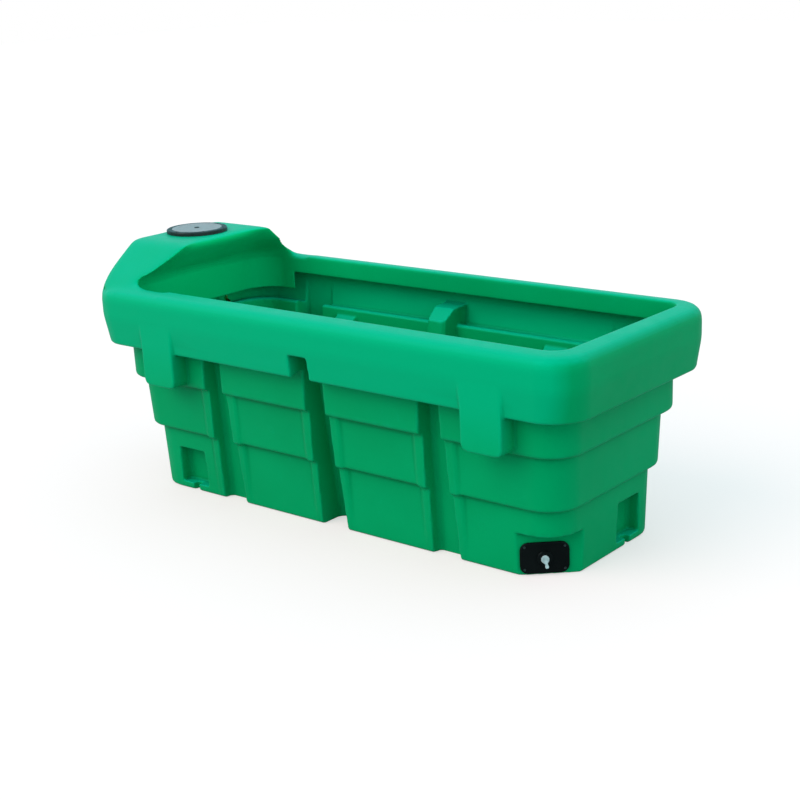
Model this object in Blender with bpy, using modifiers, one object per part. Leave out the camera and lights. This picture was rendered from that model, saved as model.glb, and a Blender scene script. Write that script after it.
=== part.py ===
"""A moulded pasture water trough with a float valve under a hood, an inspection hatch and a corner drain.

Metres, +Z up. The origin is at the middle of the underside, +X is the drain end and -Y the front side.
Run it with: blender --background --python part.py
"""

import math

import bmesh
import bpy
from mathutils import Matrix, Vector

# Overall sizes of the trough
LENGTH = 2.0
WIDTH = 0.831
RIM_HEIGHT = 0.735
WALL = 0.008
# Insets of the outer skin from the widest wall, going down to the floor
CREST_IN = 0.0765
BAND_DRAFT = 0.012
TIER_1_TOP_IN = 0.0675
TIER_1_BOTTOM_IN = 0.0685
TIER_2_TOP_IN = 0.0945
TIER_2_BOTTOM_IN = 0.1020
TIER_3_TOP_IN = 0.1240
FLOOR_IN = 0.1315
# Heights of the steps of the skin
TIER_3_TOP_Z = 0.225
TIER_2_BOTTOM_Z = 0.228
TIER_2_TOP_Z = 0.402
TIER_1_BOTTOM_Z = 0.408
TIER_1_TOP_Z = 0.548
BAND_BOTTOM_Z = 0.531
BREAK_Z = 0.630
SHOULDER_DROP = 0.0085
LIP_CUT_Z = 0.668
HOOD_WALL_CUT_Z = 0.603
CUT_STEP_X = -0.800
RECESS_Z = 0.575
# Plan radii of the skin and its edge roundings
BAND_RADIUS = 0.120
TIER_RADIUS = 0.105
OPENING_RADIUS = 0.055
HOOD_FILLET = 0.065
SHOULDER_CUT = 0.050
CREST_CUT = 0.011
EDGE_CUT = 0.009
CORNER_STEPS = 5
# Hood over the left end
HOOD_TOP_Z = 0.866
HOOD_PLATFORM = 0.382
HOOD_SLOPE = math.radians(41)
HOOD_WALL_X = -0.885
HOOD_LEAN_Z = 0.735
HOOD_NOSE_X = -0.697
HOOD_NOSE_CUT = 0.070
HOOD_COVE_CUT = 0.025
HOOD_EDGE = 0.026
HOOD_ROOT_Z = 0.672
FLUSH_IN = 0.0015
# Flutes up the long sides: the middle one is deeper and runs into the band
FLUTE_PITCH = 0.465
FLUTE_SHIFT = -0.013
FLUTE_FOOT_WIDTH = 0.122
FLUTE_TOP_WIDTH = 0.085
FLUTE_TOP_Z = 0.527
FLUTE_BACK_Y = 0.248
MID_FLUTE_TOP_WIDTH = 0.078
MID_FLUTE_TOP_Z = 0.610
MID_FLUTE_BACK_Y = 0.190
FLUTE_DRAFT = 0.009
FLUTE_CEILING_FALL = 0.08
FLUTE_CORNER = 0.018
# Tabs under the band
TAB_WIDTH = 0.148
TAB_BOTTOM_Z = 0.415
TAB_CORNER = 0.022
TAB_LEFT_X = -0.667
TAB_RIGHT_X = 0.696
# Fixing pockets at the foot
POCKET_WIDTH = 0.130
POCKET_TOP_Z = 0.155
POCKET_LEDGE_Z = 0.025
POCKET_DEPTH = 0.040
POCKET_LEFT_X = -0.675
POCKET_END_Y = 0.1025
SLOT_WIDTH = 0.026
SLOT_DEPTH = 0.026
# Drain corner: a flat recess across the corner by the floor
DRAIN_X = 0.783
DRAIN_Y = -0.2305
DRAIN_TURN = math.radians(-49.0)
DRAIN_RECESS_WIDTH = 0.194
DRAIN_RECESS_TOP_Z = 0.138
DRAIN_NOTCH_RADIUS = 0.013
DRAIN_NOTCH_DEPTH = 0.006
DRAIN_Z = 0.0560
PLATE_WIDTH = 0.150
PLATE_HEIGHT = 0.100
PLATE_CORNER = 0.025
PLATE_THICK = 0.006
PLATE_GASKET = 0.003
PLATE_SCREW_IN = 0.014
BUSH_RADIUS = 0.0210
BUSH_BORE = 0.0165
BUSH_LENGTH = 0.036
DRAIN_NUT_RADIUS = 0.030
DRAIN_NUT_THICK = 0.010
PLUG_HEAD_RADIUS = 0.0195
PLUG_HEAD_THICK = 0.005
PLUG_LENGTH = 0.026
PLUG_SEAL_THICK = 0.002
KEY_BOSS_RADIUS = 0.0125
KEY_LENGTH = 0.030
KEY_WIDTH = 0.012
KEY_THICK = 0.006
KEY_STEM_RADIUS = 0.005
# Hatch in the hood
HATCH_X = -0.870
HATCH_RING_RADIUS = 0.108
HATCH_RING_HEIGHT = 0.0115
HATCH_NECK_RADIUS = 0.0845
HATCH_NECK_BORE = 0.0785
HATCH_NECK_DEPTH = 0.0200
HATCH_GASKET = 0.002
LID_RADIUS = 0.0895
LID_REBATE = 0.0070
LID_SEAL_THICK = 0.0020
LID_PLUG_RADIUS = 0.009
HATCH_SCREWS = 6
HATCH_LID_LIFT = 0.080
# Small screws
SCREW_RADIUS = 0.0022
SCREW_HEAD_RADIUS = 0.0045
SCREW_HEAD_THICK = 0.0026
SCREW_LENGTH = 0.0175
# Float valve on the end wall, and the arm that hangs in a dry trough
VALVE_Y = 0.170
VALVE_Z = 0.652
TAIL_RADIUS = 0.0131
TAIL_BORE = 0.0085
TAIL_OUT = 0.042
BARREL_RADIUS = 0.0165
BARREL_BORE = 0.0106
BARREL_START = 0.014
BARREL_END = 0.084
NUT_RADIUS = 0.0208
NUT_THICK = 0.009
WASHER_RADIUS = 0.0200
WASHER_THICK = 0.002
SEAT_LENGTH = 0.010
SEAT_ORIFICE = 0.0030
PISTON_LENGTH = 0.034
PISTON_WASHER_THICK = 0.003
PISTON_TRAVEL = 0.0070
END_CAP_THICK = 0.006
PIVOT_IN = 0.065
PIVOT_DROP = 0.0215
PIN_RADIUS = 0.0020
TOE_LENGTH = 0.0140
TOE_RADIUS = 0.0030
TOE_PLAY = 0.0018
LEVER_THICK = 0.006
LEVER_HALF = 0.005
CRANK_X = 0.030
CRANK_DROP = 0.045
LUG_THICK = 0.004
ROD_RADIUS = 0.0030
ROD_SOCKET = 0.022
FLOAT_REACH = 0.265
FLOAT_RADIUS = 0.055
FLOAT_NUT_RADIUS = 0.0075
FLOAT_NUT_THICK = 0.005
ARM_DROOP = math.radians(30)
# Clearances: between pieces that touch, in a screw hole, and how far a cutter passes its wall
GAP = 0.0003
HOLE_PLAY = 0.0004
PAST = 0.010

HALF_WIDTH = WIDTH / 2
RUN_ON = (LENGTH - WIDTH) / 2


# Helpers


def collection(name):
    made = bpy.data.collections.new(name)
    bpy.context.scene.collection.children.link(made)
    return made


def material(name, color, roughness, metallic=0.0):
    made = bpy.data.materials.new(name)
    made.use_nodes = True
    shader = made.node_tree.nodes["Principled BSDF"]
    shader.inputs["Base Color"].default_value = (*color, 1.0)
    shader.inputs["Roughness"].default_value = roughness
    shader.inputs["Metallic"].default_value = metallic
    return made


def add(name, mesh, group, look=None, place=None):
    thing = bpy.data.objects.new(name, mesh)
    group.objects.link(thing)
    if place is not None:
        thing.matrix_world = place
    if look is not None:
        mesh.materials.append(look)
    return thing


def cutter(name, mesh, place=None):
    thing = add(name, mesh, CUTTERS, None, place)
    thing.hide_render = True
    thing.display_type = "WIRE"
    return thing


def boolean(thing, other, operation):
    modifier = thing.modifiers.new(f"{operation} {other.name}", "BOOLEAN")
    modifier.operation = operation
    modifier.solver = "EXACT"
    modifier.object = other
    return modifier


def baked(thing, name):
    """A mesh of the object as its modifiers leave it, in world space; the object itself goes."""
    bpy.context.view_layer.update()
    graph = bpy.context.evaluated_depsgraph_get()
    mesh = bpy.data.meshes.new_from_object(thing.evaluated_get(graph))
    mesh.name = name
    mesh.transform(thing.matrix_world)
    shape = bmesh.new()
    shape.from_mesh(mesh)
    bmesh.ops.remove_doubles(shape, verts=shape.verts, dist=1e-5)
    bmesh.ops.recalc_face_normals(shape, faces=shape.faces)
    shape.to_mesh(mesh)
    shape.free()
    bpy.data.objects.remove(thing)
    return mesh


def loft(name, loops):
    """A closed mesh through loops of equal count, with a flat cap on the first and the last."""
    shape = bmesh.new()
    rings = [[shape.verts.new(point) for point in loop] for loop in loops]
    for lower, upper in zip(rings, rings[1:]):
        for i in range(len(lower)):
            j = (i + 1) % len(lower)
            shape.faces.new((lower[i], lower[j], upper[j], upper[i]))
    shape.faces.new(tuple(reversed(rings[0])))
    shape.faces.new(tuple(rings[-1]))
    bmesh.ops.recalc_face_normals(shape, faces=shape.faces)
    mesh = bpy.data.meshes.new(name)
    shape.to_mesh(mesh)
    shape.free()
    return mesh


def softened(points, cuts, steps, closed=False):
    """The polyline with each corner cut back by its own length and bridged by a smooth bend."""
    bent = []
    count = len(points)
    for i, point in enumerate(points):
        at_end = not closed and i in (0, count - 1)
        if at_end or cuts[i] <= 0.0:
            bent.append(point)
            continue
        before = points[i - 1]
        after = points[(i + 1) % count]
        start = point + (before - point) * min(0.45, cuts[i] / (before - point).to_2d().length)
        end = point + (after - point) * min(0.45, cuts[i] / (after - point).to_2d().length)
        turns = steps[i] if isinstance(steps, list) else steps
        for k in range(turns + 1):
            s = k / turns
            bent.append(start * (1 - s) ** 2 + point * (2 * s * (1 - s)) + end * s**2)
    return bent


def inset(points, amount):
    """Each point of an open polyline moved to its left by the amount, with mitred corners."""
    moved = []
    for i, point in enumerate(points):
        sides = []
        for a, b in ((i - 1, i), (i, i + 1)):
            if a >= 0 and b < len(points):
                along = (points[b] - points[a]).to_2d().normalized()
                sides.append(Vector((-along.y, along.x)))
        if len(sides) == 1:
            shift = sides[0] * amount
        else:
            shift = (sides[0] + sides[1]) * (amount / (1 + sides[0].dot(sides[1])))
        moved.append(shift)
    return moved


def rounded_plan(left, right, half_width, left_radius, right_radius, z, steps=CORNER_STEPS):
    """A rounded rectangle from x=-left to x=right, counterclockwise from the near right corner."""
    corners = (
        (right - right_radius, -half_width + right_radius, right_radius, -90),
        (right - right_radius, half_width - right_radius, right_radius, 0),
        (left_radius - left, half_width - left_radius, left_radius, 90),
        (left_radius - left, -half_width + left_radius, left_radius, 180),
    )
    loop = []
    for x, y, radius, start in corners:
        for k in range(steps + 1):
            turn = math.radians(start + 90 * k / steps)
            loop.append(Vector((x + radius * math.cos(turn), y + radius * math.sin(turn), z)))
    return loop


def rounded_outline(width, height, radius, steps=4):
    """A rounded rectangle about the origin, as 2D points."""
    loop = rounded_plan(width / 2, width / 2, height / 2, radius, radius, 0.0, steps)
    return [(point.x, point.y) for point in loop]


def slab(name, outline, start, end):
    """The 2D outline swept along local Z from start to end."""
    return loft(name, [[Vector((x, y, z)) for x, y in outline] for z in (start, end)])


def turned(name, profile, group, look, place, steps=32):
    """A closed profile of (radius, height) points, listed down the outer side first, turned about local Z."""
    mesh = bpy.data.meshes.new(name)
    points = [(radius, 0.0, height) for radius, height in profile]
    count = len(points)
    on_axis = profile[0][0] == 0.0 and profile[-1][0] == 0.0
    edges = [(i, i + 1) for i in range(count - 1)]
    if not on_axis:
        edges.append((count - 1, 0))
    mesh.from_pydata(points, edges, [])
    thing = add(name, mesh, group, None, place)
    screw = thing.modifiers.new("Turn", "SCREW")
    screw.steps = steps
    screw.render_steps = steps
    screw.use_merge_vertices = True
    screw.merge_threshold = 1e-5
    screw.use_smooth_shade = True
    if look is not None:
        mesh.materials.append(look)
    return thing


def settled(thing):
    """The object with its modifiers made real and its normals outward, under the same name and origin."""
    bpy.context.view_layer.update()
    graph = bpy.context.evaluated_depsgraph_get()
    mesh = bpy.data.meshes.new_from_object(thing.evaluated_get(graph))
    shape = bmesh.new()
    shape.from_mesh(mesh)
    bmesh.ops.remove_doubles(shape, verts=shape.verts, dist=1e-6)
    bmesh.ops.recalc_face_normals(shape, faces=shape.faces)
    shape.to_mesh(mesh)
    shape.free()
    thing.modifiers.clear()
    thing.data = mesh
    mesh.shade_smooth()
    mesh.set_sharp_from_angle(angle=math.radians(35))
    return thing


def hexagon(radius):
    return [(radius * math.cos(math.radians(60 * k)), radius * math.sin(math.radians(60 * k))) for k in range(6)]


def drilled(thing, radius, start, end, place, name, sides=24):
    """A round hole along the local Z of the place."""
    hole = cutter(name, round_mesh(name, radius, start, end, sides), place)
    boolean(thing, hole, "DIFFERENCE")
    return hole


def round_mesh(name, radius, start, end, sides=24):
    outline = [
        (radius * math.cos(2 * math.pi * k / sides), radius * math.sin(2 * math.pi * k / sides))
        for k in range(sides)
    ]
    return slab(name, outline, start, end)


# The moulded skin


def skin_profile():
    """Points (half width, height, left length, right radius, left radius), soft cuts and steps."""
    rows = (
        (FLOOR_IN, 0.0, TIER_RADIUS, EDGE_CUT, 2),
        (TIER_3_TOP_IN, TIER_3_TOP_Z, TIER_RADIUS, EDGE_CUT / 2, 1),
        (TIER_2_BOTTOM_IN, TIER_2_BOTTOM_Z, TIER_RADIUS, EDGE_CUT, 2),
        (TIER_2_TOP_IN, TIER_2_TOP_Z, TIER_RADIUS, EDGE_CUT / 2, 1),
        (TIER_1_BOTTOM_IN, TIER_1_BOTTOM_Z, TIER_RADIUS, EDGE_CUT, 2),
        (TIER_1_TOP_IN, TIER_1_TOP_Z, TIER_RADIUS, EDGE_CUT / 2, 1),
        (BAND_DRAFT, BAND_BOTTOM_Z, BAND_RADIUS, EDGE_CUT, 2),
        (0.0, BREAK_Z, BAND_RADIUS, EDGE_CUT, 1),
        (0.0, RIM_HEIGHT - SHOULDER_DROP, BAND_RADIUS, SHOULDER_CUT, 6),
    )
    points = []
    for depth, z, radius, _, _ in rows:
        half = HALF_WIDTH - depth
        points.append(Vector((half, z, half + RUN_ON, radius, radius)))
    crest = HALF_WIDTH - CREST_IN
    for z in (RIM_HEIGHT, RECESS_Z):
        points.append(Vector((crest, z, -HOOD_WALL_X, OPENING_RADIUS, HOOD_FILLET)))
    cuts = [row[3] for row in rows] + [CREST_CUT, 0.0]
    steps = [row[4] for row in rows] + [3, 1]
    return points, cuts, steps


def skin_loops(depth):
    """The loops of the skin's outer face, or of a face that lies the given depth inside it."""
    points, cuts, steps = skin_profile()
    middle = Vector((0.0, 0.0, 0.0, 0.0, 0.0))
    ends = [middle] + points + [Vector((0.0, RECESS_Z, 0.0, 0.0, 0.0))]
    shifts = inset(ends, depth)[1:-1]
    for point, shift in zip(points, shifts):
        point[0] += shift.x
        point[1] += shift.y
        point[2] += shift.x
        point[3] += shift.x
        point[4] += shift.x
    if depth:
        cuts = [max(cut - depth, 0.002) if cut else 0.0 for cut in cuts]
        cuts = [cut + depth if i in (1, 3, 5) else cut for i, cut in enumerate(cuts)]
    first = Vector(points[0])
    first[0] -= 2 * EDGE_CUT
    first[2] -= 2 * EDGE_CUT
    first[3] -= 2 * EDGE_CUT
    first[4] -= 2 * EDGE_CUT
    bent = softened([first] + points, [0.0] + cuts, [1] + steps)
    return [
        rounded_plan(left, half + RUN_ON, half, left_radius, right_radius, z)
        for half, z, left, right_radius, left_radius in bent
    ]


def hood_solid(name, depth):
    """The hood: a leaning front, sloping sides and the band's own plan, intersected and with soft edges."""
    top = HOOD_TOP_Z - depth
    lean = (Vector((HOOD_NOSE_X, HOOD_TOP_Z)) - Vector((HOOD_WALL_X, HOOD_LEAN_Z))).normalized()
    front = [
        Vector((HOOD_WALL_X - FLUSH_IN, HOOD_ROOT_Z)),
        Vector((HOOD_WALL_X - FLUSH_IN, HOOD_LEAN_Z)),
        Vector((HOOD_NOSE_X, HOOD_TOP_Z)),
        Vector((HOOD_WALL_X - LENGTH, HOOD_TOP_Z)),
    ]
    shifts = inset(front, depth)
    front = [point + shift for point, shift in zip(front, shifts)]
    front[0].y = HOOD_ROOT_Z
    cuts = [0.0, HOOD_COVE_CUT + depth, HOOD_NOSE_CUT - depth, 0.0]
    side = softened(front, cuts, [1, 3, 5, 1])
    side.append(Vector((HOOD_WALL_X - LENGTH, HOOD_ROOT_Z)))
    reach = HALF_WIDTH
    stretch = Matrix.Rotation(math.radians(90), 4, "X")
    profile = slab(name, [(point.x, point.y) for point in side], -reach, reach)
    profile.transform(stretch)
    hood = cutter(name, profile)
    half_top = HOOD_PLATFORM / 2 - depth * math.tan(HOOD_SLOPE / 2)
    half_root = half_top + (top - HOOD_ROOT_Z) / math.tan(HOOD_SLOPE)
    roof = [(-half_root, HOOD_ROOT_Z), (half_root, HOOD_ROOT_Z), (half_top, top), (-half_top, top)]
    roof_mesh = loft(f"{name}_roof", [[Vector((x, y, z)) for y, z in roof] for x in (-LENGTH, 0.0)])
    roof_cutter = cutter(f"{name}_roof", roof_mesh)
    in_by = FLUSH_IN + depth
    half = HALF_WIDTH - in_by
    radius = BAND_RADIUS - in_by
    plan = [
        rounded_plan(half + RUN_ON, half + RUN_ON, half, radius, radius, z)
        for z in (HOOD_ROOT_Z - PAST, HOOD_TOP_Z + PAST)
    ]
    plan_cutter = cutter(f"{name}_plan", loft(f"{name}_plan", plan))
    boolean(hood, roof_cutter, "INTERSECT")
    boolean(hood, plan_cutter, "INTERSECT")
    mesh = baked(hood, name)
    for helper in (roof_cutter, plan_cutter):
        bpy.data.objects.remove(helper)
    soft = cutter(name, mesh)
    bevel = soft.modifiers.new("Soft edges", "BEVEL")
    bevel.limit_method = "ANGLE"
    bevel.angle_limit = math.radians(36)
    bevel.width = HOOD_EDGE - depth
    bevel.segments = 3
    return cutter(name, baked(soft, name))


def tab_mesh(name, depth, centre, side):
    """A tab with round lower corners that hangs below the band, its face flush with the band's wall."""
    half = TAB_WIDTH / 2 - depth
    bottom = TAB_BOTTOM_Z + depth
    top = BREAK_Z + 2 * PAST
    corner = TAB_CORNER - depth
    outline = []
    for x, start in ((half - corner, -90), (corner - half, 180)):
        for k in range(4):
            turn = math.radians(start + 30 * k)
            outline.append((centre + x + corner * math.cos(turn), bottom + corner + corner * math.sin(turn)))
    split = len(outline) // 2
    outline = outline[:split] + [(centre + half, top), (centre - half, top)] + outline[split:]
    face = HALF_WIDTH - depth - FLUSH_IN / 3
    back = HALF_WIDTH - TIER_1_TOP_IN - 2 * WALL
    return loft(name, [[Vector((x, side * y, z)) for x, z in outline] for y in (back, face)])


def flute_loops(centre, foot, top_width, top_z, back_y, depth, side):
    """Sections of a flute, from below the floor to its ceiling, which slopes down inward."""
    loops = []
    mouth_y = HALF_WIDTH + PAST
    corner = FLUTE_CORNER
    back = back_y - depth
    for z, fall in ((-PAST - depth, 0.0), (top_z + depth, FLUTE_CEILING_FALL)):
        width = foot - (foot - top_width) * z / top_z
        outer = width / 2 + depth
        inner = outer - FLUTE_DRAFT
        plan = [(-outer, mouth_y), (outer, mouth_y)]
        for x, start in ((inner - corner, 0), (corner - inner, -90)):
            for k in range(4):
                turn = math.radians(start - 30 * k)
                plan.append((x + corner * math.cos(turn), back + corner + corner * math.sin(turn)))
        loops.append([Vector((centre + x, side * y, z - fall * (HALF_WIDTH - y))) for x, y in plan])
    return loops


def pocket_loops(centre, top, depth, reach, corner=0.012):
    """A fixing pocket's plan at the ledge and at its top, in the frame of its own wall (local +Y is outward)."""
    loops = []
    half = POCKET_WIDTH / 2 + depth
    ledge = POCKET_LEDGE_Z - (POCKET_LEDGE_Z - WALL / 2 if depth else 0.0)
    for z, less in ((ledge, 0.0), (top + depth, 0.004)):
        loop = []
        for x, start in ((half - less - corner, 0), (corner + less - half, -90)):
            for k in range(3):
                turn = math.radians(start - 45 * k)
                loop.append((x + corner * math.cos(turn), corner + corner * math.sin(turn) - depth))
        outline = [(-half + less, reach), (half - less, reach)] + loop
        loops.append([Vector((centre + x, y, z)) for x, y in outline])
    return loops


def flute_list():
    outer = (FLUTE_FOOT_WIDTH, FLUTE_TOP_WIDTH, FLUTE_TOP_Z, FLUTE_BACK_Y)
    middle = (FLUTE_FOOT_WIDTH, MID_FLUTE_TOP_WIDTH, MID_FLUTE_TOP_Z, MID_FLUTE_BACK_Y)
    return ((-FLUTE_PITCH, outer), (0.0, middle), (FLUTE_PITCH, outer))


def hollows(depth):
    """The meshes of all flutes, pockets and the drain recess, grown by the depth."""
    meshes = []
    for side in (-1, 1):
        for shift, (foot, top_width, top_z, back_y) in flute_list():
            centre = FLUTE_SHIFT + shift
            loops = flute_loops(centre, foot, top_width, top_z, back_y, depth, side)
            meshes.append(loft("flute", loops))
        pocket = loft("pocket", pocket_loops(0.0, POCKET_TOP_Z, depth, POCKET_DEPTH + 2 * PAST))
        wall_y = HALF_WIDTH - FLOOR_IN - POCKET_DEPTH
        turn = Matrix.Diagonal((1.0, side, 1.0, 1.0))
        pocket.transform(Matrix.Translation((POCKET_LEFT_X, side * wall_y, 0.0)) @ turn)
        if side < 0:
            pocket.flip_normals()
        meshes.append(pocket)
    pocket = loft("pocket", pocket_loops(0.0, POCKET_TOP_Z, depth, POCKET_DEPTH + 2 * PAST))
    wall_x = HALF_WIDTH - FLOOR_IN + RUN_ON - POCKET_DEPTH
    turn = Matrix.Rotation(math.radians(-90), 4, "Z")
    pocket.transform(Matrix.Translation((wall_x, POCKET_END_Y, 0.0)) @ turn)
    meshes.append(pocket)
    meshes += [drain_recess(depth), drain_notch(depth)]
    return meshes


def drain_frame():
    """Local X runs along the recess, local Y up and local Z out of the trough."""
    outward = Vector((math.cos(DRAIN_TURN), math.sin(DRAIN_TURN), 0.0))
    up = Vector((0.0, 0.0, 1.0))
    along = up.cross(outward)
    place = Matrix((along, up, outward)).transposed().to_4x4()
    place.translation = Vector((DRAIN_X, DRAIN_Y, 0.0))
    return place


def drain_recess(depth):
    half = DRAIN_RECESS_WIDTH
    outline = [(-half, -PAST), (half, -PAST), (half, DRAIN_RECESS_TOP_Z + depth), (-half, DRAIN_RECESS_TOP_Z + depth)]
    mesh = slab("drain_recess", outline, -depth, 0.2)
    mesh.transform(drain_frame())
    return mesh


def drain_notch(depth):
    """The small half-round notch in the top of the recess's face."""
    radius = DRAIN_NOTCH_RADIUS + depth
    outline = [(radius, DRAIN_RECESS_TOP_Z - PAST / 4), (-radius, DRAIN_RECESS_TOP_Z - PAST / 4)]
    for k in range(1, 6):
        turn = math.radians(180 + 30 * k)
        outline.append((radius * math.cos(turn), DRAIN_RECESS_TOP_Z - PAST / 4 + radius * math.sin(turn)))
    mesh = slab("drain_notch", outline, -DRAIN_NOTCH_DEPTH - depth, PAST)
    mesh.transform(drain_frame())
    return mesh


def union_of(name, meshes):
    """One closed mesh of several that may overlap."""
    first = cutter(name, meshes[0])
    others = [cutter(f"{name}_{i}", mesh) for i, mesh in enumerate(meshes[1:])]
    for other in others:
        boolean(first, other, "UNION")
    mesh = baked(first, name)
    for other in others:
        bpy.data.objects.remove(other)
    return mesh


def body_solid(name, depth):
    """The trough with tabs and hood as a solid, its surface the given depth inside the real one."""
    body = cutter(name, loft(name, skin_loops(depth)))
    extras = [hood_solid(f"{name}_hood", depth)]
    for centre in (TAB_LEFT_X, TAB_RIGHT_X):
        for side in (-1, 1):
            extras.append(cutter(f"{name}_tab", tab_mesh(f"{name}_tab", depth, centre, side)))
    for extra in extras:
        boolean(body, extra, "UNION")
    mesh = baked(body, name)
    for extra in extras:
        bpy.data.objects.remove(extra)
    return mesh


def opening_cutters():
    """Two blocks that take away the recess's floor: the low one everywhere, the high one right of the hood."""
    half = HALF_WIDTH - CREST_IN + WALL + 0.006
    shapes = []
    for z, top, left in (
        (RECESS_Z - WALL - 0.004, HOOD_WALL_CUT_Z, -HOOD_WALL_X + WALL + 0.006),
        (RECESS_Z, LIP_CUT_Z, -CUT_STEP_X),
    ):
        square = 0.004 if left == -CUT_STEP_X else HOOD_FILLET + WALL + 0.006
        right = OPENING_RADIUS + WALL + 0.006
        loops = [rounded_plan(left, half + RUN_ON, half, square, right, at) for at in (z, top)]
        shapes.append(cutter("opening", loft("opening", loops)))
    return shapes


def slot_cutters():
    """The fixing slots through the pockets' ledges, round-ended."""
    shapes = []
    half = SLOT_WIDTH / 2
    outline = [(-half, 2 * PAST), (half, 2 * PAST)]
    for k in range(7):
        turn = math.radians(-30 * k)
        outline.append((half * math.cos(turn), half - SLOT_DEPTH + half * math.sin(turn)))
    for x, y, angle in (
        (POCKET_LEFT_X, -HALF_WIDTH + FLOOR_IN, 180),
        (POCKET_LEFT_X, HALF_WIDTH - FLOOR_IN, 0),
        (HALF_WIDTH - FLOOR_IN + RUN_ON, POCKET_END_Y, -90),
    ):
        mesh = slab("slot", outline, -PAST, POCKET_LEDGE_Z + PAST)
        place = Matrix.Translation((x, y, 0.0)) @ Matrix.Rotation(math.radians(angle), 4, "Z")
        shapes.append(cutter("slot", mesh, place))
    return shapes


def trough_shell():
    outer = body_solid("outer", 0.0)
    inner = cutter("inner", body_solid("inner", WALL))
    shell = cutter("shell", outer)
    openings = opening_cutters()
    boolean(shell, inner, "DIFFERENCE")
    for opening in openings:
        boolean(shell, opening, "DIFFERENCE")
    rough = baked(shell, "rough")
    posts = cutter("posts", union_of("posts", hollows(WALL)))
    solid_loops = skin_loops(0.0)[:-2]
    envelope = cutter("envelope", loft("envelope", solid_loops))
    boolean(posts, envelope, "INTERSECT")
    posts = cutter("posts", baked(posts, "posts"))
    shell = cutter("shell", rough)
    boolean(shell, posts, "UNION")
    cuts = cutter("hollows", union_of("hollows", hollows(0.0)))
    boolean(shell, cuts, "DIFFERENCE")
    helpers = [inner, envelope, posts, cuts] + openings
    mesh = baked(shell, "trough_shell")
    for helper in helpers:
        bpy.data.objects.remove(helper)
    trough = add("trough_shell", mesh, TROUGH, GREEN)
    for slot in slot_cutters():
        boolean(trough, slot, "DIFFERENCE")
    return trough


# The hatch


def hatch_frame(z):
    return Matrix.Translation((HATCH_X, 0.0, z))


def hatch(trough):
    ring_bottom = HATCH_GASKET + 2 * GAP
    ring_top = ring_bottom + HATCH_RING_HEIGHT
    rebate = ring_top - LID_REBATE
    neck_bottom = ring_bottom - HATCH_NECK_DEPTH
    place = hatch_frame(HOOD_TOP_Z)
    drilled(trough, HATCH_NECK_RADIUS + 2 * HOLE_PLAY, -3 * WALL / 2, PAST, place, "hatch_hole", 32)
    gasket = [
        (HATCH_RING_RADIUS - 0.002, GAP + HATCH_GASKET),
        (HATCH_RING_RADIUS - 0.002, GAP),
        (HATCH_NECK_RADIUS + 2 * HOLE_PLAY, GAP),
        (HATCH_NECK_RADIUS + 2 * HOLE_PLAY, GAP + HATCH_GASKET),
    ]
    gasket = settled(turned("hatch_gasket", gasket, TROUGH, RUBBER, place))
    ring = [
        (HATCH_RING_RADIUS - 0.004, ring_top),
        (HATCH_RING_RADIUS - 0.001, ring_top - 0.0015),
        (HATCH_RING_RADIUS, ring_top - 0.004),
        (HATCH_RING_RADIUS, ring_bottom),
        (HATCH_NECK_RADIUS, ring_bottom),
        (HATCH_NECK_RADIUS, neck_bottom),
        (HATCH_NECK_BORE, neck_bottom),
        (HATCH_NECK_BORE, rebate),
        (LID_RADIUS + 2 * GAP, rebate),
        (LID_RADIUS + 2 * GAP, ring_top - 0.0008),
        (LID_RADIUS + 2 * GAP + 0.0008, ring_top),
    ]
    ring = settled(turned("hatch_ring", ring, TROUGH, BLACK_PLASTIC, place))
    hatch_screws(trough, gasket, ring, ring_top, place)
    hatch_lid(rebate, ring_top, neck_bottom)


def hatch_screws(trough, gasket, ring, ring_top, place):
    circle = (LID_RADIUS + HATCH_RING_RADIUS) / 2
    for i in range(HATCH_SCREWS):
        turn = 2 * math.pi * (i + 0.5) / HATCH_SCREWS
        at = Matrix.Translation((circle * math.cos(turn), circle * math.sin(turn), 0.0))
        spot = place @ at
        screw(f"hatch_screw_{i + 1}", spot @ Matrix.Translation((0.0, 0.0, ring_top - 0.0006)), BLACK_STEEL)
        hole = drilled(ring, SCREW_RADIUS + HOLE_PLAY, -PAST, 2 * PAST, spot, f"hatch_screw_hole_{i + 1}")
        boolean(gasket, hole, "DIFFERENCE")
        boolean(trough, hole, "DIFFERENCE")
        sink = round_mesh("sink", SCREW_HEAD_RADIUS + HOLE_PLAY, ring_top - 0.0006 - SCREW_HEAD_THICK - GAP, 2 * PAST, 16)
        boolean(ring, cutter(f"hatch_screw_sink_{i + 1}", sink, spot), "DIFFERENCE")


def screw(name, place, look):
    """A flat-headed screw whose head's top is at local z 0, its shank down local -Z."""
    profile = [
        (0.0, 0.0),
        (SCREW_HEAD_RADIUS * 0.9, 0.0),
        (SCREW_HEAD_RADIUS, -0.0005),
        (SCREW_HEAD_RADIUS, -SCREW_HEAD_THICK),
        (SCREW_RADIUS, -SCREW_HEAD_THICK),
        (SCREW_RADIUS, -SCREW_LENGTH),
        (0.0, -SCREW_LENGTH - SCREW_RADIUS),
    ]
    thing = settled(turned(name, profile, TROUGH, look, place, 10))
    drive = slab("drive", hexagon(SCREW_HEAD_RADIUS * 0.45), -0.0012, PAST)
    boolean(thing, cutter(f"{name}_drive", drive, place), "DIFFERENCE")
    return thing


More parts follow.
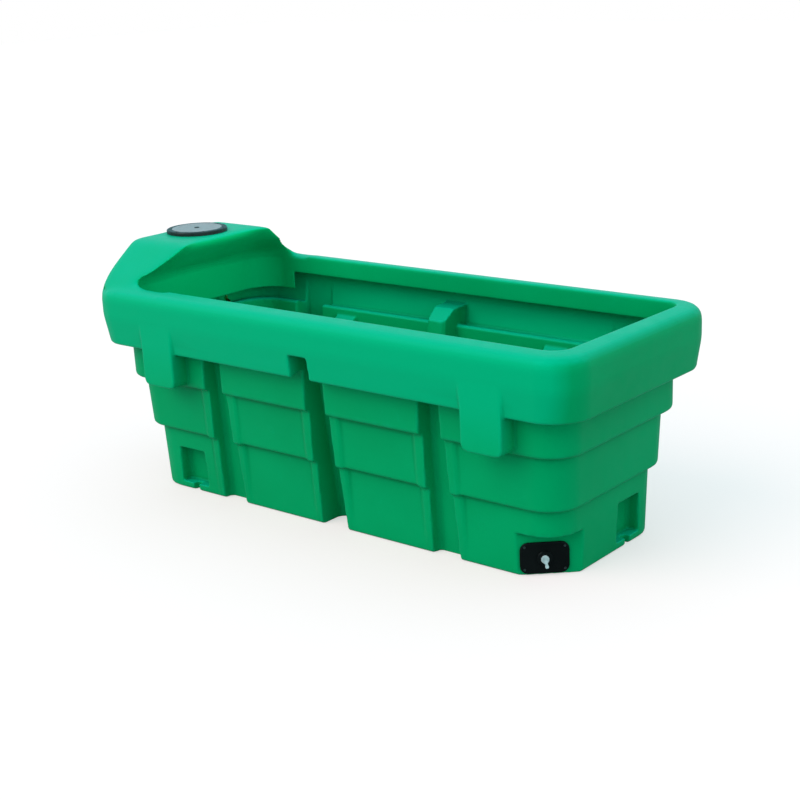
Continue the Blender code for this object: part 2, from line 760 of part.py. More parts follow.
def hatch_lid(rebate, ring_top, neck_bottom):
    seal_top = rebate + GAP + LID_SEAL_THICK
    under = seal_top + GAP
    top = ring_top + 0.0008
    skirt = HATCH_NECK_BORE - 0.0010
    place = hatch_frame(HOOD_TOP_Z)
    seal = [
        (LID_RADIUS - 0.001, seal_top),
        (LID_RADIUS - 0.001, rebate + GAP),
        (HATCH_NECK_BORE + 0.001, rebate + GAP),
        (HATCH_NECK_BORE + 0.001, seal_top),
    ]
    settled(turned("hatch_lid_seal", seal, TROUGH, RUBBER, place))
    bore = LID_PLUG_RADIUS + GAP
    lid = [
        (LID_RADIUS - 0.0030, top),
        (LID_RADIUS - 0.0008, top - 0.0008),
        (LID_RADIUS, top - 0.0025),
        (LID_RADIUS, under),
        (skirt, under),
        (skirt, neck_bottom + 0.004),
        (skirt - 0.004, neck_bottom + 0.004),
        (skirt - 0.004, under - 0.001),
        (bore, under - 0.001),
        (bore, top - 0.0012),
        (LID_RADIUS * 0.78, top - 0.0012),
        (LID_RADIUS * 0.80, top),
    ]
    settled(turned("hatch_lid", lid, TROUGH, GREY, place))
    plug = [
        (0.0, top + 0.0006),
        (LID_PLUG_RADIUS - 0.001, top + 0.0006),
        (LID_PLUG_RADIUS, top - 0.0004),
        (LID_PLUG_RADIUS, under - 0.0010 - GAP - 0.002),
        (0.0, under - 0.0010 - GAP - 0.002),
    ]
    plug = settled(turned("hatch_lid_plug", plug, TROUGH, BLACK_PLASTIC, place, 24))
    slot = slab("plug_slot", rounded_outline(LID_PLUG_RADIUS * 1.3, 0.0024, 0.0008, 2), top - 0.001, top + PAST)
    boolean(plug, cutter("plug_slot", slot, place), "DIFFERENCE")


# The float valve


def valve_frame(at_x=0.0, drop=0.0):
    """Local Z runs along +X from the end wall's outer face, local X runs down."""
    place = Matrix.Rotation(math.radians(90), 4, "Y")
    place.translation = Vector((-LENGTH / 2 + at_x, VALVE_Y, VALVE_Z - drop))
    return place


def valve(trough):
    place = valve_frame()
    drilled(trough, TAIL_RADIUS + HOLE_PLAY, -PAST, 2 * WALL, place, "valve_hole")
    nut_stack(place)
    body = valve_body(place)
    bore_start = BARREL_START + 0.004
    seat_start = bore_start + GAP
    seat = [
        (BARREL_BORE - GAP, seat_start + SEAT_LENGTH),
        (BARREL_BORE - GAP, seat_start),
        (SEAT_ORIFICE, seat_start),
        (SEAT_ORIFICE, seat_start + SEAT_LENGTH + 0.002),
        (SEAT_ORIFICE + 0.0015, seat_start + SEAT_LENGTH + 0.002),
        (SEAT_ORIFICE + 0.0025, seat_start + SEAT_LENGTH),
    ]
    settled(turned("valve_seat", seat, TROUGH, WHITE, place, 24))
    closed_at = seat_start + SEAT_LENGTH + 0.002 + GAP
    washer_start = closed_at + PISTON_TRAVEL
    disc = [
        (0.0, washer_start + PISTON_WASHER_THICK),
        (BARREL_BORE - 3 * GAP, washer_start + PISTON_WASHER_THICK),
        (BARREL_BORE - 3 * GAP, washer_start),
        (0.0, washer_start),
    ]
    settled(turned("valve_piston_washer", disc, TROUGH, RUBBER, place, 20))
    piston_start = washer_start + PISTON_WASHER_THICK + GAP
    valve_piston(place, piston_start)
    cap = [
        (0.0, BARREL_END + GAP + END_CAP_THICK),
        (BARREL_RADIUS - 0.002, BARREL_END + GAP + END_CAP_THICK),
        (BARREL_RADIUS, BARREL_END + GAP + END_CAP_THICK - 0.002),
        (BARREL_RADIUS, BARREL_END + GAP),
        (0.0, BARREL_END + GAP),
    ]
    settled(turned("valve_end_cap", cap, TROUGH, BLACK_PLASTIC, place, 24))
    return body


def nut_stack(place):
    hole = TAIL_RADIUS + GAP
    outer_washer = -GAP - WASHER_THICK
    inner_washer = WALL + GAP
    nuts = (
        ("valve_nut_outer", outer_washer - GAP - NUT_THICK),
        ("valve_nut_inner", inner_washer + WASHER_THICK + GAP),
    )
    for name, start in nuts:
        nut = add(name, slab(name, hexagon(NUT_RADIUS), start, start + NUT_THICK), TROUGH, BLACK_PLASTIC, place)
        drilled(nut, hole, start - PAST, start + NUT_THICK + PAST, place, f"{name}_bore")
    for name, start in (("valve_washer_outer", outer_washer), ("valve_washer_inner", inner_washer)):
        ring = [
            (WASHER_RADIUS, start + WASHER_THICK),
            (WASHER_RADIUS, start),
            (hole, start),
            (hole, start + WASHER_THICK),
        ]
        settled(turned(name, ring, TROUGH, RUBBER, place, 24))


def valve_body(place):
    barrel = WALL + BARREL_START
    profile = [
        (BARREL_RADIUS, BARREL_END),
        (BARREL_RADIUS, barrel),
        (TAIL_RADIUS, barrel),
        (TAIL_RADIUS, 0.001 - TAIL_OUT),
        (TAIL_RADIUS - 0.001, -TAIL_OUT),
        (TAIL_BORE, -TAIL_OUT),
        (TAIL_BORE, BARREL_START + 0.004),
        (BARREL_BORE, BARREL_START + 0.004),
        (BARREL_BORE, BARREL_END),
    ]
    body = settled(turned("valve_body", profile, TROUGH, BLACK_PLASTIC, place, 28))
    inside = LEVER_THICK / 2 + 2 * GAP
    for side in (-1, 1):
        lug = [
            (BARREL_RADIUS - 0.004, PIVOT_IN - 0.010),
            (PIVOT_DROP + 0.001, PIVOT_IN - 0.007),
            (PIVOT_DROP + 0.006, PIVOT_IN - 0.003),
            (PIVOT_DROP + 0.006, PIVOT_IN + 0.003),
            (PIVOT_DROP + 0.001, PIVOT_IN + 0.007),
            (BARREL_RADIUS - 0.004, PIVOT_IN + 0.010),
        ]
        start, end = (inside, inside + LUG_THICK) if side > 0 else (-inside - LUG_THICK, -inside)
        loops = [[Vector((x, y, z)) for x, z in lug] for y in (start, end)]
        boolean(body, cutter("valve_lug", loft("valve_lug", loops), place), "UNION")
    slot_start = PIVOT_IN - 0.013
    slot_end = PIVOT_IN + 0.016
    slot_half = inside
    outline = [(0.0, -slot_half), (2 * BARREL_RADIUS, -slot_half), (2 * BARREL_RADIUS, slot_half), (0.0, slot_half)]
    boolean(body, cutter("valve_slot", slab("valve_slot", outline, slot_start, slot_end), place), "DIFFERENCE")
    pin_hole = round_mesh("pin_hole", PIN_RADIUS + GAP, -0.05, 0.05, 16)
    boolean(body, cutter("valve_pin_hole", pin_hole, pin_frame()), "DIFFERENCE")
    return body


def valve_piston(place, start):
    """The piston, with a slot below that takes the lever's toe through its whole swing."""
    radius = BARREL_BORE - 2 * GAP
    end = start + PISTON_LENGTH
    profile = [(0.0, end), (radius - 0.001, end), (radius, end - 0.001), (radius, start), (0.0, start)]
    piston = settled(turned("valve_piston", profile, TROUGH, BRASS, place, 20))
    toe_at = PIVOT_IN + TOE_LENGTH * math.sin(ARM_DROOP)
    half = TOE_RADIUS + TOE_PLAY
    top = TOE_LENGTH - PIVOT_DROP + TOE_RADIUS + TOE_PLAY / 2
    wide = LEVER_THICK / 2 + 2 * GAP
    outline = [(-top, -wide), (2 * BARREL_BORE, -wide), (2 * BARREL_BORE, wide), (-top, wide)]
    boolean(piston, cutter("toe_slot", slab("toe_slot", outline, toe_at - half, toe_at + half), place), "DIFFERENCE")
    return piston


def pin_frame():
    """At the pivot, local Z along +Y."""
    place = Matrix.Rotation(math.radians(-90), 4, "X")
    place.translation = Vector((-LENGTH / 2 + PIVOT_IN, VALVE_Y, VALVE_Z - PIVOT_DROP))
    return place


def arm_empty():
    """The parent of the swinging pieces, on the pivot, turned by the arm's droop."""
    empty = bpy.data.objects.new("float_arm_axis", None)
    TROUGH.objects.link(empty)
    turn = Matrix.Rotation(ARM_DROOP, 4, "Y")
    pivot = (-LENGTH / 2 + PIVOT_IN, VALVE_Y, VALVE_Z - PIVOT_DROP)
    empty.matrix_world = Matrix.Translation(pivot) @ turn
    return empty


def on_arm(thing, empty):
    """Makes the object, built in the raised arm's own frame, a child of the turned pivot."""
    thing.parent = empty
    return thing


def lever_outline():
    """The lever's side view about the pivot: toe, eye and the crank down to the rod's socket."""
    half = LEVER_HALF
    toe = []
    for k in range(7):
        turn = math.radians(30 * k)
        toe.append((TOE_RADIUS * math.cos(turn), TOE_LENGTH + TOE_RADIUS * math.sin(turn)))
    socket_x = CRANK_X + ROD_SOCKET
    low = -CRANK_DROP - half
    down = [
        (-half, 0.003),
        (-half, -0.004),
        (CRANK_X - 1.6 * half, -CRANK_DROP + half),
        (CRANK_X - half, low),
        (socket_x, low),
        (socket_x, low + 2 * half),
        (CRANK_X + half, low + 2 * half),
        (half, -0.004),
        (half, 0.003),
    ]
    return toe + down


def float_arm():
    empty = arm_empty()
    half = LEVER_THICK / 2
    upright = Matrix.Rotation(math.radians(90), 4, "X")
    mesh = slab("valve_lever", lever_outline(), -half, half)
    mesh.transform(upright)
    lever = on_arm(add("valve_lever", mesh, TROUGH, BLACK_PLASTIC), empty)
    pin_hole = round_mesh("lever_hole", PIN_RADIUS + GAP, -0.03, 0.03, 16)
    pin_hole.transform(upright)
    boolean(lever, on_arm(cutter("lever_hole", pin_hole), empty), "DIFFERENCE")
    sideways = Matrix.Rotation(math.radians(90), 4, "Y")
    rod_at = Matrix.Translation((0.0, 0.0, -CRANK_DROP)) @ sideways
    socket_end = CRANK_X + ROD_SOCKET
    boss = round_mesh("rod_boss", ROD_RADIUS + 0.003, CRANK_X + 0.002, socket_end + 0.001, 20)
    boss.transform(rod_at)
    boolean(lever, on_arm(cutter("rod_boss", boss), empty), "UNION")
    bore = round_mesh("rod_bore", ROD_RADIUS + GAP, CRANK_X + 0.008, socket_end + PAST, 16)
    bore.transform(rod_at)
    boolean(lever, on_arm(cutter("rod_bore", bore), empty), "DIFFERENCE")
    ball_start = FLOAT_REACH - FLOAT_RADIUS
    nut_start = ball_start - GAP - FLOAT_NUT_THICK
    rod = round_mesh("float_rod", ROD_RADIUS, CRANK_X + 0.008 + GAP, ball_start + 0.012, 12)
    rod.transform(rod_at)
    on_arm(add("float_rod", rod, TROUGH, STEEL), empty)
    nut = slab("float_nut", hexagon(FLOAT_NUT_RADIUS), nut_start, nut_start + FLOAT_NUT_THICK)
    nut.transform(rod_at)
    nut = on_arm(add("float_nut", nut, TROUGH, BRASS), empty)
    bore = round_mesh("float_nut_bore", ROD_RADIUS + GAP, nut_start - PAST, ball_start + PAST, 16)
    bore.transform(rod_at)
    boolean(nut, on_arm(cutter("float_nut_bore", bore), empty), "DIFFERENCE")
    float_ball(empty, rod_at, ball_start)
    pin = round_mesh("valve_pin", PIN_RADIUS, -0.0095, 0.0095, 12)
    add("valve_pin", pin, TROUGH, STEEL, pin_frame())


def float_ball(empty, rod_at, ball_start):
    """The ball, with a flat round the rod's hole and a moulded seam rib."""
    flat = 0.0025
    profile = [(0.0, FLOAT_REACH + FLOAT_RADIUS)]
    for k in range(1, 15):
        turn = math.pi * k / 15
        height = FLOAT_REACH + FLOAT_RADIUS * math.cos(turn)
        profile.append((FLOAT_RADIUS * math.sin(turn), height))
        if k == 7:
            profile.append((FLOAT_RADIUS + 0.0015, FLOAT_REACH + 0.0015))
            profile.append((FLOAT_RADIUS + 0.0015, FLOAT_REACH - 0.0015))
    profile += [(0.009, ball_start), (0.0, ball_start)]
    ball = settled(turned("float_ball", profile, TROUGH, BLACK_PLASTIC, rod_at, 24))
    ball.data.transform(rod_at)
    ball.matrix_world = Matrix.Identity(4)
    on_arm(ball, empty)
    hole = round_mesh("ball_hole", ROD_RADIUS + GAP, ball_start - flat - PAST, ball_start + 0.012 + GAP, 16)
    hole.transform(rod_at)
    boolean(ball, on_arm(cutter("ball_hole", hole), empty), "DIFFERENCE")


# The drain


def drain(trough):
    place = drain_frame() @ Matrix.Translation((0.0, DRAIN_Z, 0.0))
    gasket_top = GAP + PLATE_GASKET
    plate_start = gasket_top + GAP
    plate_top = plate_start + PLATE_THICK
    bush_hole = drilled(trough, BUSH_RADIUS + HOLE_PLAY, -0.05, 0.05, place, "bush_hole")
    trim = 0.0015
    outline = rounded_outline(PLATE_WIDTH - 2 * trim, PLATE_HEIGHT - 2 * trim, PLATE_CORNER - trim)
    gasket = add("drain_gasket", slab("drain_gasket", outline, GAP, gasket_top), TROUGH, RUBBER, place)
    boolean(gasket, bush_hole, "DIFFERENCE")
    plate = drain_plate(place, plate_start, plate_top)
    boolean(plate, bush_hole, "DIFFERENCE")
    x = PLATE_WIDTH / 2 - PLATE_SCREW_IN
    y = PLATE_HEIGHT / 2 - PLATE_SCREW_IN
    for i, (sx, sy) in enumerate(((-1, 1), (1, 1), (1, -1), (-1, -1))):
        spot = place @ Matrix.Translation((sx * x, sy * y, 0.0))
        screw(f"drain_screw_{i + 1}", spot @ Matrix.Translation((0.0, 0.0, plate_top - 0.0006)), BLACK_STEEL)
        hole = drilled(plate, SCREW_RADIUS + HOLE_PLAY, -2 * PAST, 2 * PAST, spot, f"plate_hole_{i + 1}")
        boolean(gasket, hole, "DIFFERENCE")
        boolean(trough, hole, "DIFFERENCE")
        start = plate_top - 0.0006 - SCREW_HEAD_THICK - GAP
        sink = round_mesh("sink", SCREW_HEAD_RADIUS + HOLE_PLAY, start, 2 * PAST, 16)
        boolean(plate, cutter(f"plate_sink_{i + 1}", sink, spot), "DIFFERENCE")
    bush_top = plate_start + PLATE_THICK / 2
    bush = [
        (BUSH_RADIUS, bush_top),
        (BUSH_RADIUS, bush_top - BUSH_LENGTH),
        (BUSH_BORE, bush_top - BUSH_LENGTH),
        (BUSH_BORE, bush_top),
    ]
    settled(turned("drain_bush", bush, TROUGH, BLACK_PLASTIC, place, 32))
    nut_start = -WALL - GAP - DRAIN_NUT_THICK
    nut = slab("drain_nut", hexagon(DRAIN_NUT_RADIUS), nut_start, nut_start + DRAIN_NUT_THICK)
    nut = add("drain_nut", nut, TROUGH, BLACK_PLASTIC, place)
    drilled(nut, BUSH_RADIUS + GAP, nut_start - PAST, PAST, place, "drain_nut_bore")
    drain_plug(place, plate_top)


def drain_plate(place, start, top):
    """The glossy plate, its face pillowed by a rounded edge."""
    rings = []
    for trim, z in ((0.0, start), (0.0, top - 0.0030), (0.0012, top - 0.0012), (0.0036, top)):
        outline = rounded_outline(PLATE_WIDTH - 2 * trim, PLATE_HEIGHT - 2 * trim, PLATE_CORNER - trim)
        rings.append([Vector((x, y, z)) for x, y in outline])
    return add("drain_plate", loft("drain_plate", rings), TROUGH, GLOSS_BLACK, place)


def drain_plug(place, plate_top):
    """The screw-in plug with its seal under the head and the key in its middle."""
    seal_start = plate_top + GAP
    head_start = seal_start + PLUG_SEAL_THICK + GAP
    head_top = head_start + PLUG_HEAD_THICK
    shank = BUSH_BORE - 2 * GAP
    seal = [
        (PLUG_HEAD_RADIUS + 0.0040, seal_start + PLUG_SEAL_THICK),
        (PLUG_HEAD_RADIUS + 0.0040, seal_start),
        (BUSH_BORE + GAP, seal_start),
        (BUSH_BORE + GAP, seal_start + PLUG_SEAL_THICK),
    ]
    settled(turned("drain_plug_seal", seal, TROUGH, RUBBER, place, 32))
    stem = KEY_STEM_RADIUS + GAP
    foot = head_top - PLUG_LENGTH
    profile = [
        (PLUG_HEAD_RADIUS + 0.0030, head_top),
        (PLUG_HEAD_RADIUS + 0.0045, head_top - 0.0015),
        (PLUG_HEAD_RADIUS + 0.0045, head_start),
        (shank, head_start),
        (shank, foot),
        (0.0, foot),
        (0.0, head_top - 0.009),
        (stem, head_top - 0.009),
        (stem, head_top),
    ]
    turned_plug(profile, place)
    drain_key(place, head_top)


def turned_plug(profile, place):
    """The plug is turned from its closed half section, which touches the axis below the key's socket."""
    mesh = bpy.data.meshes.new("drain_plug")
    points = [(radius, 0.0, height) for radius, height in profile]
    order = list(range(6, len(points))) + list(range(6))
    edges = list(zip(order, order[1:]))
    mesh.from_pydata(points, edges, [])
    mesh.materials.append(BLACK_PLASTIC)
    plug = add("drain_plug", mesh, TROUGH, None, place)
    turn = plug.modifiers.new("Turn", "SCREW")
    turn.steps = 32
    turn.render_steps = 32
    turn.use_merge_vertices = True
    turn.merge_threshold = 1e-5
    return settled(plug)


def drain_key(place, head_top):
    """A bright key: a round boss with a flat blade that hangs from it, on a stem in the plug."""
    start = head_top + GAP
    key_frame = place @ Matrix.Rotation(math.radians(12), 4, "Z")
    half = KEY_WIDTH / 2
    outline = []
    for k in range(9):
        turn = math.radians(-30 + 30 * k)
        outline.append((KEY_BOSS_RADIUS * math.cos(turn), KEY_BOSS_RADIUS * math.sin(turn)))
    outline += [
        (-half * 0.6, -KEY_BOSS_RADIUS * 1.2),
        (-half, -KEY_LENGTH + half * 0.6),
        (-half * 0.5, -KEY_LENGTH),
        (half * 0.5, -KEY_LENGTH),
        (half, -KEY_LENGTH + half * 0.6),
        (half * 0.6, -KEY_BOSS_RADIUS * 1.2),
    ]
    mesh = slab("drain_key", outline, start, start + KEY_THICK)
    key = add("drain_key", mesh, TROUGH, CHROME, key_frame)
    bevel = key.modifiers.new("Edges", "BEVEL")
    bevel.width = 0.0012
    bevel.segments = 2
    bevel.limit_method = "ANGLE"
    bevel.angle_limit = math.radians(50)
    stem = round_mesh("key_stem", KEY_STEM_RADIUS, head_top - 0.008, start + KEY_THICK / 2, 16)
    boolean(key, cutter("key_stem", stem, key_frame), "UNION")


def finish_shading():
    for thing in TROUGH.objects:
        if thing.type == "MESH":
            thing.data.shade_smooth()
            thing.data.set_sharp_from_angle(angle=math.radians(35))


for old in list(bpy.data.objects):
    bpy.data.objects.remove(old, do_unlink=True)

TROUGH = collection("pasture_water_trough")
CUTTERS = collection("cutters")

GREEN = material("moulded green", (0.0, 0.33, 0.15), 0.38)
BLACK_PLASTIC = material("black plastic", (0.012, 0.012, 0.013), 0.45)
GLOSS_BLACK = material("gloss black plate", (0.006, 0.006, 0.007), 0.12)
GREY = material("grey lid", (0.22, 0.23, 0.24), 0.45)
WHITE = material("white nylon", (0.8, 0.8, 0.76), 0.4)
RUBBER = material("rubber", (0.02, 0.02, 0.02), 0.75)
BRASS = material("brass", (0.62, 0.45, 0.19), 0.3, 1.0)
STEEL = material("stainless steel", (0.6, 0.6, 0.58), 0.3, 1.0)
BLACK_STEEL = material("blackened steel", (0.03, 0.03, 0.03), 0.35, 0.8)
CHROME = material("bright key", (0.85, 0.85, 0.85), 0.15, 1.0)

shell = trough_shell()
hatch(shell)
valve(shell)
float_arm()
drain(shell)
finish_shading()
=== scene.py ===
"""Looks of a moulded green pasture trough with a hooded float valve, a hatch and a corner drain."""

import math

import bmesh
import bpy
import numpy as np
from mathutils import Matrix, Vector

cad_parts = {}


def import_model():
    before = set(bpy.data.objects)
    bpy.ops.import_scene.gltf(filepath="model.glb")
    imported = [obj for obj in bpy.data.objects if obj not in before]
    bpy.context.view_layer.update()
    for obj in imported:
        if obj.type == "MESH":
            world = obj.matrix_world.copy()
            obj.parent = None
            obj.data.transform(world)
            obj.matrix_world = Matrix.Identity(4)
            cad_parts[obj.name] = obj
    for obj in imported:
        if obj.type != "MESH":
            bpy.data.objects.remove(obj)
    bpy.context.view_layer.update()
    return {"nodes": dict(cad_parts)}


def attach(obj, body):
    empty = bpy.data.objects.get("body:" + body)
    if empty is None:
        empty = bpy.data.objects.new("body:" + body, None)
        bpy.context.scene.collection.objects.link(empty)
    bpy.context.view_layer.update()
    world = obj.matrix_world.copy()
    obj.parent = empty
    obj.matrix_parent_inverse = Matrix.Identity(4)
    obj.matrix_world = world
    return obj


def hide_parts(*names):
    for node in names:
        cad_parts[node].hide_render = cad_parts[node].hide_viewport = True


# Camera: focal length and sensor width in millimetres, place, turns, sensor shift and the depths it sees
LENS = 66.78
SENSOR = 36
CAMERA_AT = (3.133, -3.610, 1.785)
YAW = math.radians(-38.23)
PITCH = math.radians(17.0)
ROLL = math.radians(-2.17)
SHIFT = (-0.0709, 0.0109)
DEPTHS = (0.1, 100)

# Far lamps: the way to them, how white they make a white surface that faces them, spread in degrees, color
LAMPS = {
    "key": ((-0.28, -0.72, 0.62), 0.46, 50, (1.0, 1.0, 0.98)),
    "top": ((0.1, 0.1, 1.0), 0.22, 80, (0.40, 0.80, 1.0)),
    "fill": ((0.97, -0.2, 0.15), 0.16, 60, (0.9, 1.0, 0.95)),
}
# Lamp over the water: place, the way it shines, power in watts, size, spread in degrees, color
INNER_AT = (0.25, -0.02, 0.84)
INNER_WAY = (-1.0, 0.0, -0.03)
INNER_POWER = 1.0
INNER_SIZE = 0.3
INNER_SPREAD = 70
INNER_COLOR = (0.85, 1.0, 1.0)
# Light from all round, then the floor: half its length, how far it lies under the trough, its glow and color
# as the camera sees it, and the color of the light that it throws back
SKY = 0.92
SKY_COLOR = (0.42, 0.92, 1.0)
FLOOR_REACH = 30.0
FLOOR_DROP = 0.0005
FLOOR_GLOW = 0.56
FLOOR_SHADE = (0.60, 0.36, 0.34)
FLOOR_BOUNCE = (0.34, 0.34, 0.34)

# Greens: pigment, its clouds and specks, painted sky light on the band and tops, paler worn corners that also
# carry a painted highlight, scuffs, and painted shade in hollows
GREEN = (0.0, 0.345, 0.112)
GREEN_DEEP = (0.0, 0.315, 0.098)
GREEN_PALE = (0.004, 0.42, 0.20)
GREEN_BAND_PAINTED_LIGHT = (0.0, 0.405, 0.170)
GREEN_TOP_PAINTED_LIGHT = (0.0, 0.385, 0.205)
GREEN_WEAR_AND_HIGHLIGHT = (0.01, 0.50, 0.28)
GREEN_SCUFFED = (0.01, 0.50, 0.30)
GREEN_PAINTED_SHADE = (0.0, 0.17, 0.045)
# Grey of the lid, with its clouds and specks
LID = (0.37, 0.265, 0.27)
LID_DEEP = (0.33, 0.24, 0.245)
LID_PALE = (0.42, 0.33, 0.33)
# Round mark of the mould on the near side: its centre, then the radii between which its ring rises and falls
MARK_AT = (0.598, -0.286, 0.134)
MARK_RISE = (0.0095, 0.0120)
MARK_FALL = (0.0160, 0.0145)

# Moulded skin: size of the cells that it is rebuilt from, how far a point goes to its neighbours' mean in one
# round of smoothing, the rounds for all of it and for the hood, and its most faces
SKIN_GRAIN = 0.0040
SMOOTH_STEP = 0.5
SKIN_ROUNDS = 2
HOOD_ROUNDS = 150
SKIN_FACES = 190000
# How strongly the bend of the skin shows in its color, as painted shade in hollows and paler corners with a
# painted highlight, and the rounds that even it out
BEND_GAIN = 5.0
BEND_ROUNDS = 3
# Corners of the frame's triangles that lie nearer than this are joined
JOIN = 1e-5

# Upright corners: angle of one flat strip that the frame has there, how much further out in x than in y the
# arcs are centred, and the radii and heights that are trued
STRIP = math.radians(18.0)
RUN_ON = 0.5845
ARC_RADII = (0.06, 0.13)
ARC_HEIGHTS = (0.004, 0.715)
# Height, and how far from the middle line the arcs are centred at it
ARC_CENTRES = (
    (0.0, 0.179), (0.225, 0.1865), (0.228, 0.2085), (0.402, 0.216), (0.408, 0.242),
    (0.530, 0.243), (0.531, 0.2835), (0.630, 0.2955), (0.70, 0.2955),
)
# The drain's corner is left as it is: right of this x, on the near side, below this height
DRAIN_LEFT = 0.5
DRAIN_TOP = 0.15

# Flutes: middle in x, how near the middle line the back stands at the foot, its lean and its top
FLUTES = ((-0.478, 0.248, 0.045, 0.527), (-0.013, 0.190, 0.100, 0.600), (0.452, 0.248, 0.045, 0.527))
# Half a flute's width, the length over which the lean sets in, and where the lean ends at the flute's mouth
FLUTE_HALF = 0.085
FLUTE_SOFT = 0.012
FLUTE_MOUTH = 0.335
# How far above and behind a flute's back the skin leans with it, and how far its top sinks
FLUTE_OVER = 0.03
FLUTE_BEHIND = 0.012
POST_DROP = 0.022

# Hood: half width and height of its flat top, the fall of its sides, the top's half width lost per metre of
# depth, the thickness of its skin and the height of its root
HOOD_HALF = 0.200
HOOD_TOP = 0.866
HOOD_FALL = 0.7536
HOOD_NARROWS = 0.335
HOOD_SKIN = 0.008
HOOD_ROOT = 0.603
# The hood in plan: left end, half width and corner radius
HOOD_LEFT = -0.9965
HOOD_WIDE = 0.412
HOOD_CORNER = 0.1165
# The hood's front limit in plan: distance from the middle line, and x at it
HOOD_FRONT = (
    (-0.42, -0.830), (-0.36, -0.785), (-0.32, -0.755), (-0.28, -0.730), (-0.20, -0.700),
    (0.20, -0.690), (0.28, -0.706), (0.32, -0.722), (0.36, -0.742), (0.42, -0.775),
)
# The open space before the hood, by height: its left end, then half width and corner radius, far and near
HOOD_AIR = (
    (0.580, -0.885, 0.339, 0.105, 0.339, 0.105),
    (0.735, -0.885, 0.339, 0.112, 0.345, 0.112),
    (0.752, -0.878, 0.345, 0.160, 0.372, 0.140),
    (0.776, -0.856, 0.352, 0.240, 0.372, 0.240),
    (0.806, -0.822, 0.360, 0.330, 0.372, 0.300),
    (0.830, -0.790, 0.366, 0.350, 0.372, 0.330),
    (0.850, -0.758, 0.370, 0.350, 0.372, 0.330),
    (0.900, -0.700, 0.372, 0.350, 0.372, 0.330),
)
# How far the solids that shape the hood run past it: top of the block, foot and ends of the roof, right end
# of the open space, and how far the hollow runs out below the root
BLOCK_TOP = 0.95
ROOF_FOOT = 0.55
ROOF_ENDS = (-1.2, -0.5)
AIR_RIGHT = -0.3
HOLLOW_BELOW = 0.02
# Where the frame's own skin stands and the hood's is left out: low and high corners
LEFT_OUT = {
    "end": ((-1.1, -0.5, 0.5), (-0.899, 0.5, 0.725)),
    "near": ((-1.1, -0.5, 0.5), (-0.6, -0.346, 0.70)),
    "far": ((-1.1, 0.346, 0.5), (-0.6, 0.5, 0.70)),
}
# The same round the hatch: its middle in x, the radius, the corners of the circle and the heights
HATCH_X = -0.870
HATCH_ROOM = 0.1045
HATCH_CORNERS = 48
HATCH_HEIGHTS = (0.8, 0.9)
# The hood's edges are softened above this height, further than this to the left of the middle and outside
# this radius of the hatch, each with the length over which that sets in
SOFT_ABOVE = (0.720, 0.020)
SOFT_LEFT = (0.655, 0.02)
SOFT_ROUND = (0.112, 0.012)
# The part of the skin that is worked on for it: left of this x and above this height
SOFT_PART = (-0.6, 0.70)

COLOR = "NodeSocketColor"
NUMBER = "NodeSocketFloat"
VECTOR = "NodeSocketVector"

# Finish of each CAD node, by how its name starts; the first that fits is taken
DRESSED = (
    ("trough_shell", "green"),
    ("hatch_ring", "black"),
    ("hatch_gasket", "rubber"),
    ("hatch_screw", "dark_steel"),
    ("hatch_lid_seal", "rubber"),
    ("hatch_lid_plug", "black"),
    ("hatch_lid", "grey"),
    ("valve_washer", "rubber"),
    ("valve_piston_washer", "rubber"),
    ("valve_seat", "white"),
    ("valve_end_cap", "black"),
    ("valve_pin", "steel"),
    ("valve", "brass"),
    ("float_ball", "black"),
    ("float", "brass"),
    ("drain_gasket", "rubber"),
    ("drain_plate", "gloss"),
    ("drain_screw", "dark_steel"),
    ("drain_bush", "black"),
    ("drain_nut", "black"),
    ("drain_plug_seal", "rubber"),
    ("drain_plug", "gloss"),
    ("drain_key", "bright"),
)


def linked(name, data):
    """A new object in the scene."""
    made = bpy.data.objects.new(name, data)
    bpy.context.scene.collection.objects.link(made)
    return made


def aim(thing, way):
    """Turns an object so that its -Z points the given way."""
    thing.rotation_mode = "QUATERNION"
    thing.rotation_quaternion = Vector(way).to_track_quat("-Z", "Y")


def camera():
    forward = Vector((math.sin(YAW) * math.cos(PITCH), math.cos(YAW) * math.cos(PITCH), -math.sin(PITCH)))
    level = Vector((math.cos(YAW), -math.sin(YAW), 0))
    above = level.cross(forward)
    right = level * math.cos(ROLL) + above * math.sin(ROLL)
    up = above * math.cos(ROLL) - level * math.sin(ROLL)
    data = bpy.data.cameras.new("camera")
    data.lens = LENS
    data.sensor_width = SENSOR
    data.shift_x, data.shift_y = SHIFT
    data.clip_start, data.clip_end = DEPTHS
    made = linked("camera", data)
    turn = Matrix((right, up, -forward)).transposed()
    made.matrix_world = Matrix.Translation(CAMERA_AT) @ turn.to_4x4()
    bpy.context.scene.camera = made


def lamp(name, towards, level, spread, color):
    """A broad soft lamp far away. Level is how white it makes a white surface that faces it."""
    data = bpy.data.lights.new(name, "SUN")
    data.energy = level * math.pi
    data.angle = math.radians(spread)
    data.color = color
    aim(linked(name, data), [-value for value in towards])


def inner_lamp():
    """A weak soft lamp over the water, for the hood's front wall."""
    data = bpy.data.lights.new("inner", "AREA")
    data.energy = INNER_POWER
    data.size = INNER_SIZE
    data.spread = math.radians(INNER_SPREAD)
    data.color = INNER_COLOR
    made = linked("inner", data)
    made.location = INNER_AT
    aim(made, INNER_WAY)
    made.visible_camera = False
    made.visible_glossy = False


